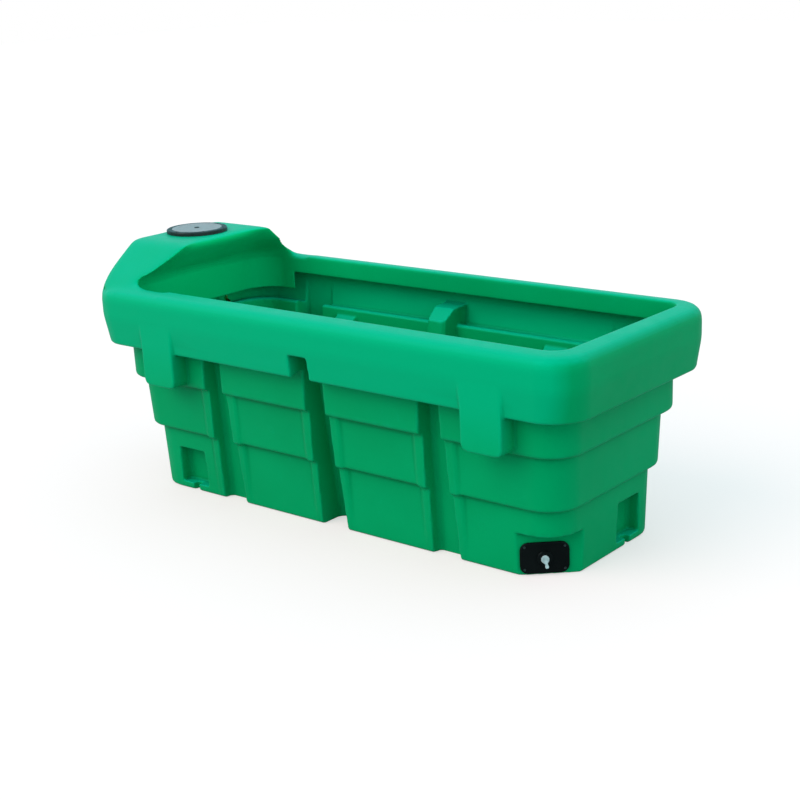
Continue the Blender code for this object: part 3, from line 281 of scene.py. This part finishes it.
class Nodes:
    """Short ways to place and join the nodes of one tree."""

    def __init__(self, tree):
        self.tree = tree

    def add(self, kind, inputs=None, **settings):
        node = self.tree.nodes.new(kind)
        for name, value in settings.items():
            setattr(node, name, value)
        for name, value in (inputs or {}).items():
            self.feed(node.inputs[name], value)
        return node

    def feed(self, socket, value):
        if isinstance(value, bpy.types.NodeSocket):
            self.tree.links.new(value, socket)
        elif isinstance(value, tuple) and len(value) == 3 and socket.type == "RGBA":
            socket.default_value = (*value, 1)
        else:
            socket.default_value = value

    def math(self, operation, *values, clamp=False):
        node = self.add("ShaderNodeMath", operation=operation, use_clamp=clamp)
        for socket, value in zip(node.inputs, values):
            self.feed(socket, value)
        return node.outputs[0]

    def mix(self, factor, low, high):
        node = self.add("ShaderNodeMix", data_type="RGBA")
        self.feed(node.inputs[0], factor)
        self.feed(node.inputs[6], low)
        self.feed(node.inputs[7], high)
        return node.outputs[2]

    def noise(self, where, scale, detail):
        inputs = {"Vector": where, "Scale": scale, "Detail": detail}
        return self.add("ShaderNodeTexNoise", inputs).outputs["Fac"]

    def span(self, value, low, high, start=0.0, end=1.0):
        inputs = {"Value": value, "From Min": low, "From Max": high, "To Min": start, "To Max": end}
        return self.add("ShaderNodeMapRange", inputs).outputs["Result"]


def group(name, takes, gives):
    """An empty shader group with named sockets, and its helper, its outgoing sockets and its output node."""
    tree = bpy.data.node_groups.new(name, "ShaderNodeTree")
    for label, kind, value in takes:
        socket = tree.interface.new_socket(label, in_out="INPUT", socket_type=kind)
        if value is not None:
            socket.default_value = value
    for label, kind in gives:
        tree.interface.new_socket(label, in_out="OUTPUT", socket_type=kind)
    nodes = Nodes(tree)
    return tree, nodes, nodes.add("NodeGroupInput").outputs, nodes.add("NodeGroupOutput").inputs


def tone_group():
    """Slow clouds and fine specks between three tones of one material."""
    takes = [
        ("Where", VECTOR, None),
        ("Middle", COLOR, (0.5, 0.5, 0.5, 1)),
        ("Deep", COLOR, (0.4, 0.4, 0.4, 1)),
        ("Pale", COLOR, (0.6, 0.6, 0.6, 1)),
        ("Cloud Scale", NUMBER, 3.0),
        ("Speck Scale", NUMBER, 900.0),
        ("Speck Share", NUMBER, 0.2),
    ]
    tree, nodes, start, end = group("tone", takes, [("Color", COLOR)])
    cloud = nodes.noise(start["Where"], start["Cloud Scale"], 3.0)
    deep = nodes.mix(nodes.span(cloud, 0.35, 0.65), start["Deep"], start["Middle"])
    speck = nodes.noise(start["Where"], start["Speck Scale"], 1.0)
    share = nodes.math("MULTIPLY", nodes.span(speck, 0.55, 0.8), start["Speck Share"])
    nodes.feed(end["Color"], nodes.mix(share, deep, start["Pale"]))
    return tree


def grain_group():
    """The fine pebble and the slow waves that a moulded or cast skin has, as a height, with its roughness."""
    takes = [
        ("Where", VECTOR, None),
        ("Pebble Scale", NUMBER, 400.0),
        ("Pebble Share", NUMBER, 0.5),
        ("Wave Scale", NUMBER, 7.0),
        ("Smooth", NUMBER, 0.35),
        ("Rough", NUMBER, 0.5),
    ]
    gives = [("Height", NUMBER), ("Roughness", NUMBER)]
    tree, nodes, start, end = group("grain", takes, gives)
    pebble = nodes.noise(start["Where"], start["Pebble Scale"], 2.0)
    wave = nodes.noise(start["Where"], start["Wave Scale"], 2.0)
    fine = nodes.math("MULTIPLY", pebble, start["Pebble Share"])
    slow = nodes.math("MULTIPLY", wave, nodes.math("SUBTRACT", 1.0, start["Pebble Share"]))
    nodes.feed(end["Height"], nodes.math("ADD", fine, slow))
    patch = nodes.noise(start["Where"], nodes.math("MULTIPLY", start["Wave Scale"], 2.7), 4.0)
    nodes.feed(end["Roughness"], nodes.span(patch, 0.3, 0.7, start["Smooth"], start["Rough"]))
    return tree


def painted_light_group():
    """Painted sky light: paler on faces that look up, and a little on the outermost walls of the band and
    tabs.
    """
    takes = [
        ("Where", VECTOR, None),
        ("Color", COLOR, (0.0, 0.3, 0.1, 1)),
        ("Band", COLOR, (0.0, 0.4, 0.2, 1)),
        ("Top", COLOR, (0.0, 0.4, 0.2, 1)),
    ]
    tree, nodes, start, end = group("painted_light", takes, [("Color", COLOR)])
    place = nodes.add("ShaderNodeSeparateXYZ", {"Vector": start["Where"]}).outputs
    outer = nodes.span(nodes.math("ABSOLUTE", place["Y"]), 0.362, 0.402)
    high = nodes.span(place["Z"], 0.35, 0.56)
    share = nodes.math("MULTIPLY", outer, high, clamp=True)
    # painted sky light on the band's and tabs' outermost walls
    band = nodes.mix(share, start["Color"], start["Band"])
    facing = nodes.add("ShaderNodeNewGeometry").outputs["Normal"]
    up = nodes.add("ShaderNodeSeparateXYZ", {"Vector": facing}).outputs["Z"]
    uneven = nodes.span(nodes.noise(start["Where"], 9.0, 3.0), 0.3, 0.7, 0.85, 1.0)
    # painted sky light and sheen on faces that look up
    top = nodes.math("MULTIPLY", nodes.span(up, 0.25, 0.9), uneven, clamp=True)
    nodes.feed(end["Color"], nodes.mix(top, band, start["Top"]))
    return tree


def scuff_group():
    """Thin scratches in two directions, broken up by patches."""
    takes = [("Where", VECTOR, None), ("Scale", NUMBER, 60.0), ("Share", NUMBER, 0.3)]
    tree, nodes, start, end = group("scuffs", takes, [("Mask", NUMBER)])
    lines = []
    for turn in (0.4, 1.9):
        turned = nodes.add("ShaderNodeMapping", {"Vector": start["Where"]})
        turned.inputs["Rotation"].default_value = (turn, 0.3 * turn, turn)
        turned.inputs["Scale"].default_value = (1, 9, 1)
        line = nodes.noise(turned.outputs[0], start["Scale"], 1.0)
        near = nodes.math("ABSOLUTE", nodes.math("SUBTRACT", line, 0.5))
        lines.append(nodes.span(near, 0.006, 0.0))
    patch = nodes.span(nodes.noise(start["Where"], 5.0, 3.0), 0.5, 0.62)
    worn = nodes.math("MULTIPLY", nodes.math("MAXIMUM", *lines), patch)
    nodes.feed(end["Mask"], nodes.math("MULTIPLY", worn, start["Share"]))
    return tree


def material(name):
    """A new material with its helper, its shader's sockets and the object's own coordinates."""
    made = bpy.data.materials.new(name)
    made.use_nodes = True
    nodes = Nodes(made.node_tree)
    where = nodes.add("ShaderNodeTexCoord").outputs["Object"]
    return made, nodes, made.node_tree.nodes["Principled BSDF"].inputs, where


def placed(nodes, tree, **inputs):
    """A group placed in a material, with its sockets set by name (a space for each underscore)."""
    node = nodes.add("ShaderNodeGroup")
    node.node_tree = tree
    for name, value in inputs.items():
        nodes.feed(node.inputs[name.replace("_", " ").title()], value)
    return node.outputs


def bump(nodes, shader, height, depth, strength):
    made = nodes.add("ShaderNodeBump", {"Height": height, "Distance": depth, "Strength": strength})
    nodes.feed(shader["Normal"], made.outputs["Normal"])


def moulded_green():
    """Satin polyethylene: cloudy pigment, a pebbled skin, painted sky light on the band and tops, paler worn
    corners that also carry a painted highlight, and painted shade in hollows.
    """
    made, nodes, shader, where = material("moulded_green")
    tone = placed(nodes, TONE, where=where, middle=GREEN, deep=GREEN_DEEP, pale=GREEN_PALE,
                  cloud_scale=2.4, speck_scale=700.0, speck_share=0.16)
    grain = placed(nodes, GRAIN, where=where, pebble_scale=420.0, pebble_share=0.3, wave_scale=6.0,
                   smooth=0.34, rough=0.46)
    # painted sky light on the band and on faces that look up
    painted_lit = placed(nodes, PAINTED_LIGHT, where=where, color=tone["Color"], band=GREEN_BAND_PAINTED_LIGHT, top=GREEN_TOP_PAINTED_LIGHT)["Color"]
    bend = nodes.add("ShaderNodeAttribute", attribute_name="bend").outputs["Fac"]
    broken = nodes.span(nodes.noise(where, 26.0, 5.0), 0.35, 0.7)
    # outer corners paler: partly rub wear, partly a painted highlight
    wear_and_highlight = nodes.math("MULTIPLY", nodes.span(bend, 0.56, 0.8), broken, clamp=True)
    # painted shade: concave skin darkened where less light reaches
    hollow = nodes.math("MULTIPLY", nodes.span(bend, 0.46, 0.2), 0.55, clamp=True)
    scuffs = placed(nodes, SCUFFS, where=where, scale=14.0, share=0.35)["Mask"]
    color = nodes.mix(nodes.math("MULTIPLY", wear_and_highlight, 0.14), painted_lit, GREEN_WEAR_AND_HIGHLIGHT)
    color = nodes.mix(hollow, color, GREEN_PAINTED_SHADE)
    color = nodes.mix(nodes.math("MULTIPLY", scuffs, 0.22), color, GREEN_SCUFFED)
    nodes.feed(shader["Base Color"], color)
    rough = nodes.math("ADD", grain["Roughness"], nodes.math("MULTIPLY", scuffs, 0.2), clamp=True)
    nodes.feed(shader["Roughness"], rough)
    nodes.feed(shader["Specular IOR Level"], 0.17)
    nodes.feed(shader["Specular Tint"], (0.0, 0.9, 0.8))
    away = nodes.add("ShaderNodeVectorMath", {0: where, 1: MARK_AT}, operation="DISTANCE").outputs["Value"]
    ring = nodes.math("MULTIPLY", nodes.span(away, *MARK_FALL), nodes.span(away, *MARK_RISE), clamp=True)
    height = nodes.math("ADD", grain["Height"], nodes.math("MULTIPLY", ring, 0.35))
    bump(nodes, shader, height, 0.0022, 0.35)
    return made


def plain_plastic(name, middle, deep, pale, smooth, rough, specular=0.5):
    made, nodes, shader, where = material(name)
    tone = placed(nodes, TONE, where=where, middle=middle, deep=deep, pale=pale,
                  cloud_scale=16.0, speck_scale=1500.0, speck_share=0.3)
    grain = placed(nodes, GRAIN, where=where, pebble_scale=1400.0, pebble_share=0.6, wave_scale=30.0,
                   smooth=smooth, rough=rough)
    scuffs = placed(nodes, SCUFFS, where=where, scale=60.0, share=0.4)["Mask"]
    nodes.feed(shader["Base Color"], nodes.mix(scuffs, tone["Color"], pale))
    nodes.feed(shader["Roughness"], grain["Roughness"])
    nodes.feed(shader["Specular IOR Level"], specular)
    bump(nodes, shader, grain["Height"], 0.0004, 0.4)
    return made


def metal(name, bright, dull, smooth, rough, share=1.0):
    made, nodes, shader, where = material(name)
    tone = placed(nodes, TONE, where=where, middle=bright, deep=dull, pale=bright,
                  cloud_scale=45.0, speck_scale=1800.0, speck_share=0.2)
    grain = placed(nodes, GRAIN, where=where, pebble_scale=2200.0, pebble_share=0.5, wave_scale=60.0,
                   smooth=smooth, rough=rough)
    nodes.feed(shader["Base Color"], tone["Color"])
    nodes.feed(shader["Roughness"], grain["Roughness"])
    nodes.feed(shader["Metallic"], share)
    bump(nodes, shader, grain["Height"], 0.0002, 0.4)
    return made


def grey(level):
    return (level, level, level)


def all_looks():
    return {
        "green": moulded_green(),
        "black": plain_plastic("black_plastic", grey(0.012), grey(0.008), grey(0.05), 0.32, 0.5, 0.3),
        "gloss": plain_plastic("gloss_black", grey(0.006), grey(0.004), grey(0.02), 0.10, 0.2, 0.07),
        "grey": plain_plastic("grey_lid", LID, LID_DEEP, LID_PALE, 0.38, 0.55),
        "white": plain_plastic("white_nylon", (0.74, 0.74, 0.69), (0.66, 0.65, 0.58), grey(0.8), 0.32, 0.5),
        "rubber": plain_plastic("rubber", grey(0.02), grey(0.014), grey(0.05), 0.6, 0.8, 0.3),
        "brass": metal("brass", (0.78, 0.56, 0.25), (0.50, 0.34, 0.14), 0.22, 0.42),
        "steel": metal("stainless_steel", (0.62, 0.62, 0.60), (0.45, 0.45, 0.44), 0.22, 0.4),
        "dark_steel": metal("blackened_steel", grey(0.10), grey(0.05), 0.3, 0.45),
        "bright": metal("bright_key", (0.95, 0.92, 0.92), (0.55, 0.52, 0.52), 0.08, 0.2, 0.25),
    }


def world():
    made = bpy.data.worlds.new("world")
    bpy.context.scene.world = made
    made.use_nodes = True
    nodes = Nodes(made.node_tree)
    path = nodes.add("ShaderNodeLightPath").outputs
    seen = nodes.math("MAXIMUM", path["Is Camera Ray"], path["Is Transmission Ray"])
    ambient = nodes.add("ShaderNodeBackground", {"Color": SKY_COLOR, "Strength": SKY})
    backdrop = nodes.add("ShaderNodeBackground", {"Color": grey(1.0), "Strength": 1.0})
    shares = {0: seen, 1: ambient.outputs[0], 2: backdrop.outputs[0]}
    mixed = nodes.add("ShaderNodeMixShader", shares)
    nodes.feed(made.node_tree.nodes["World Output"].inputs["Surface"], mixed.outputs[0])


def floor_material():
    made, nodes, shader, _ = material("pale_floor")
    seen = nodes.add("ShaderNodeLightPath").outputs["Is Camera Ray"]
    nodes.feed(shader["Base Color"], nodes.mix(seen, FLOOR_BOUNCE, FLOOR_SHADE))
    nodes.feed(shader["Specular IOR Level"], 0.0)
    nodes.feed(shader["Roughness"], 1.0)
    nodes.feed(shader["Emission Color"], grey(1.0))
    nodes.feed(shader["Emission Strength"], nodes.math("MULTIPLY", seen, FLOOR_GLOW))
    return made


def floor():
    mesh = bpy.data.meshes.new("floor")
    reach = FLOOR_REACH
    corners = [(-reach, -reach, 0), (reach, -reach, 0), (reach, reach, 0), (-reach, reach, 0)]
    mesh.from_pydata(corners, [], [(0, 1, 2, 3)])
    mesh.materials.append(floor_material())
    made = linked("floor", mesh)
    made.location.z = -FLOOR_DROP


def finished(thing, name):
    """The object as a plain mesh with its modifiers applied, in place of the object."""
    graph = bpy.context.evaluated_depsgraph_get()
    mesh = bpy.data.meshes.new_from_object(thing.evaluated_get(graph))
    mesh.name = name
    bpy.data.objects.remove(thing)
    return linked(name, mesh)


def merged_copy(node, name):
    """A node's mesh with its loose triangles joined."""
    mesh = frame["nodes"][node].data.copy()
    shape = bmesh.new()
    shape.from_mesh(mesh)
    bmesh.ops.remove_doubles(shape, verts=shape.verts, dist=JOIN)
    shape.to_mesh(mesh)
    shape.free()
    mesh.materials.clear()
    return linked(name, mesh)


def mesh_arrays(mesh):
    points = np.empty(len(mesh.vertices) * 3)
    mesh.vertices.foreach_get("co", points)
    edges = np.empty(len(mesh.edges) * 2, dtype=np.int64)
    mesh.edges.foreach_get("vertices", edges)
    return points.reshape(-1, 3), edges.reshape(-1, 2)


def neighbour_count(edges, length):
    return np.maximum(np.bincount(edges.ravel(), minlength=length), 1)


def neighbour_mean(values, edges, count):
    """The mean of each point's neighbours."""
    total = np.empty_like(values)
    for axis in range(values.shape[1]):
        column = values[:, axis]
        near = np.bincount(edges[:, 0], column[edges[:, 1]], len(values))
        total[:, axis] = near + np.bincount(edges[:, 1], column[edges[:, 0]], len(values))
    return total / count[:, None]


def ramp(values, start, length):
    """0 up to the start, 1 from a length beyond it, and even between."""
    return np.clip((values - start) / length, 0.0, 1.0)


def bend_of(points, edges, normals, count):
    """Near 0.5 on flat skin, above it on outer corners and below it in hollows."""
    lift = ((points - neighbour_mean(points, edges, count)) * normals).sum(1)
    for _ in range(BEND_ROUNDS):
        lift = neighbour_mean(lift[:, None], edges, count)[:, 0]
    return np.clip(0.5 + lift / SKIN_GRAIN * BEND_GAIN, 0, 1)


def closed_loft(name, loops):
    """A closed mesh object through loops of equal count."""
    shape = bmesh.new()
    rings = [[shape.verts.new(point) for point in loop] for loop in loops]
    for lower, upper in zip(rings, rings[1:]):
        for i in range(len(lower)):
            j = (i + 1) % len(lower)
            shape.faces.new((lower[i], lower[j], upper[j], upper[i]))
    shape.faces.new(tuple(reversed(rings[0])))
    shape.faces.new(tuple(rings[-1]))
    bmesh.ops.recalc_face_normals(shape, faces=shape.faces)
    mesh = bpy.data.meshes.new(name)
    shape.to_mesh(mesh)
    shape.free()
    return linked(name, mesh)


def upright(name, plan, low, high):
    """A closed prism over an outline in plan."""
    return closed_loft(name, [[(x, y, z) for x, y in plan] for z in (low, high)])


def box_object(name, low, high):
    plan = [(low[0], low[1]), (high[0], low[1]), (high[0], high[1]), (low[0], high[1])]
    return upright(name, plan, low[2], high[2])


def quarter(x, y, radius, start, steps):
    """A quarter circle in plan about x and y, from an angle in degrees."""
    turns = [math.radians(start + 90 * k / steps) for k in range(steps + 1)]
    return [(x + radius * math.cos(turn), y + radius * math.sin(turn)) for turn in turns]


def joined(thing, tools, name):
    """The object after each tool has been cut from it or crossed with it."""
    for operation, tool in tools:
        change = thing.modifiers.new(operation, "BOOLEAN")
        change.operation = operation
        change.solver = "EXACT"
        change.object = tool
    made = finished(thing, name)
    for _, tool in tools:
        bpy.data.objects.remove(tool)
    return made


def hood_plan(depth):
    """The hood from above, the given depth inside its real outline."""
    half = HOOD_WIDE - depth
    corner = HOOD_CORNER - depth
    plan = [(x - depth, y) for y, x in HOOD_FRONT if abs(y) <= half]
    for middle, start in ((half - corner, 90), (corner - half, 180)):
        plan += quarter(HOOD_LEFT + depth + corner, middle, corner, start, 8)
    return plan


def hood_roof(depth):
    """A prism along x with the hood's flat top and sloping sides."""
    top = HOOD_TOP - depth
    flat = HOOD_HALF - depth * HOOD_NARROWS
    foot = flat + (top - ROOF_FOOT) / HOOD_FALL
    roof = [(-foot, ROOF_FOOT), (foot, ROOF_FOOT), (flat, top), (-flat, top)]
    return closed_loft("hood_roof", [[(x, y, z) for y, z in roof] for x in ROOF_ENDS])


def hood_air(depth):
    """The open space before the hood, grown by the given depth."""
    loops = []
    for z, left, far_wide, far_radius, near_wide, near_radius in HOOD_AIR:
        plan = [(AIR_RIGHT, -near_wide - depth), (AIR_RIGHT, far_wide + depth)]
        corners = ((far_wide - far_radius, far_radius, 90), (near_radius - near_wide, near_radius, 180))
        for middle, radius, start in corners:
            plan += quarter(left + radius, middle, radius + depth, start, 12)
        loops.append([(x, y, z) for x, y in plan])
    return closed_loft("hood_air", loops)


def hood_block(depth):
    """The hood as a solid whose surface lies the given depth inside the real one."""
    low = HOOD_ROOT - (HOLLOW_BELOW if depth else 0.0)
    block = upright("hood_plan", hood_plan(depth), low, BLOCK_TOP)
    return joined(block, [("INTERSECT", hood_roof(depth)), ("DIFFERENCE", hood_air(depth))], "hood_block")


def hood_skin():
    """The hood's hollow skin, left out where the frame's own skin stands."""
    circle = []
    for k in range(HATCH_CORNERS):
        turn = 2 * math.pi * k / HATCH_CORNERS
        circle.append((HATCH_X + HATCH_ROOM * math.cos(turn), HATCH_ROOM * math.sin(turn)))
    tools = [hood_block(HOOD_SKIN)]
    tools += [box_object(name, low, high) for name, (low, high) in LEFT_OUT.items()]
    tools.append(upright("hatch", circle, *HATCH_HEIGHTS))
    return joined(hood_block(0.0), [("DIFFERENCE", tool) for tool in tools], "hood_skin")


def hood_softened(points, edges):
    """The hood's edges, rounded by about 30 mm as the moulding has them."""
    away = np.hypot(points[:, 0] - HATCH_X, points[:, 1])
    weight = ramp(points[:, 2], *SOFT_ABOVE) * ramp(-points[:, 0], *SOFT_LEFT) * ramp(away, *SOFT_ROUND)
    near = np.flatnonzero((points[:, 0] < SOFT_PART[0]) & (points[:, 2] > SOFT_PART[1]))
    place = np.full(len(points), -1)
    place[near] = np.arange(len(near))
    local = place[edges[(place[edges] >= 0).all(1)]]
    count = neighbour_count(local, len(near))
    part = points[near]
    share = SMOOTH_STEP * weight[near][:, None]
    for _ in range(HOOD_ROUNDS):
        part += share * (neighbour_mean(part, local, count) - part)
    points[near] = part


def arcs_trued(points):
    """The flat strips of the upright corners, pushed out onto their arcs."""
    heights, centres = zip(*ARC_CENTRES)
    centre = np.interp(points[:, 2], heights, centres)
    out_x = np.abs(points[:, 0]) - RUN_ON - centre
    out_y = np.abs(points[:, 1]) - centre
    reach = np.hypot(out_x, out_y)
    turn = np.arctan2(out_y, out_x)
    swing = np.mod(turn, STRIP) - STRIP / 2
    push = reach * (np.cos(swing) / math.cos(STRIP / 2) - 1.0)
    drain = (points[:, 0] > DRAIN_LEFT) & (points[:, 1] < 0) & (points[:, 2] < DRAIN_TOP)
    level = (points[:, 2] > ARC_HEIGHTS[0]) & (points[:, 2] < ARC_HEIGHTS[1])
    corner = (out_x > 0) & (out_y > 0) & (reach > ARC_RADII[0]) & (reach < ARC_RADII[1])
    push = np.where(corner & ~drain & level, push, 0.0)
    points[:, 0] += push * np.cos(turn) * np.sign(points[:, 0])
    points[:, 1] += push * np.sin(turn) * np.sign(points[:, 1])


def flute_backs_leant(points):
    """The backs of the flutes lean outward as they rise, the middle ones most."""
    for centre, back, lean, top in FLUTES:
        rise = ramp(points[:, 2], 0.0, top)
        deep = ramp(-np.abs(points[:, 1]), -FLUTE_MOUTH, FLUTE_MOUTH - back)
        near = ramp(-np.abs(points[:, 0] - centre), -FLUTE_HALF, FLUTE_SOFT)
        inside = (points[:, 2] < top + FLUTE_OVER) & (np.abs(points[:, 1]) > back - FLUTE_BEHIND)
        shift = rise * deep * near * inside
        points[:, 1] += lean * shift * np.sign(points[:, 1])
        points[:, 2] -= POST_DROP * shift


def rebuilt_shell():
    """The frame's shell and the hood's skin as one even skin of small cells."""
    thing = merged_copy("trough_shell", "skin_raw")
    hood = hood_skin()
    shape = bmesh.new()
    shape.from_mesh(thing.data)
    shape.from_mesh(hood.data)
    shape.to_mesh(thing.data)
    shape.free()
    bpy.data.objects.remove(hood)
    remesh = thing.modifiers.new("grain", "REMESH")
    remesh.mode = "VOXEL"
    remesh.voxel_size = SKIN_GRAIN * 1.0
    return finished(thing, "skin_fine")


def moulded_skin():
    """The shell with every corner rounded as a rotational moulding has it."""
    thing = rebuilt_shell()
    mesh = thing.data
    points, edges = mesh_arrays(mesh)
    count = neighbour_count(edges, len(points))
    arcs_trued(points)
    flute_backs_leant(points)
    hood_softened(points, edges)
    for _ in range(SKIN_ROUNDS):
        points += SMOOTH_STEP * (neighbour_mean(points, edges, count) - points)
    mesh.vertices.foreach_set("co", points.ravel())
    mesh.update()
    normals = np.empty(len(points) * 3)
    mesh.vertices.foreach_get("normal", normals)
    bend = bend_of(points, edges, normals.reshape(-1, 3), count)
    store = mesh.attributes.new("bend", "FLOAT", "POINT")
    store.data.foreach_set("value", bend.astype(np.float32))
    thin = thing.modifiers.new("fewer", "DECIMATE")
    thin.ratio = min(1.0, SKIN_FACES / (2 * len(mesh.polygons)))
    thin.use_collapse_triangulate = True
    made = finished(thing, "trough_skin")
    made.data.shade_smooth()
    weigh = made.modifiers.new("even", "WEIGHTED_NORMAL")
    weigh.weight = 60
    made = finished(made, "trough_skin")
    made.data.materials.clear()
    made.data.materials.append(LOOKS["green"])
    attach(made, "trough")
    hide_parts("trough_shell")


def dress_all():
    """Gives every CAD node its finish."""
    for name in frame["nodes"]:
        look = next(look for start, look in DRESSED if name.startswith(start))
        slots = frame["nodes"][name].data.materials
        for index in range(len(slots)):
            slots[index] = LOOKS[look]


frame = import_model()
bpy.context.scene.view_settings.view_transform = "Standard"
camera()
TONE = tone_group()
GRAIN = grain_group()
SCUFFS = scuff_group()
PAINTED_LIGHT = painted_light_group()
LOOKS = all_looks()
dress_all()
moulded_skin()
world()
for lamp_name, settings in LAMPS.items():
    lamp(lamp_name, *settings)
inner_lamp()
floor()
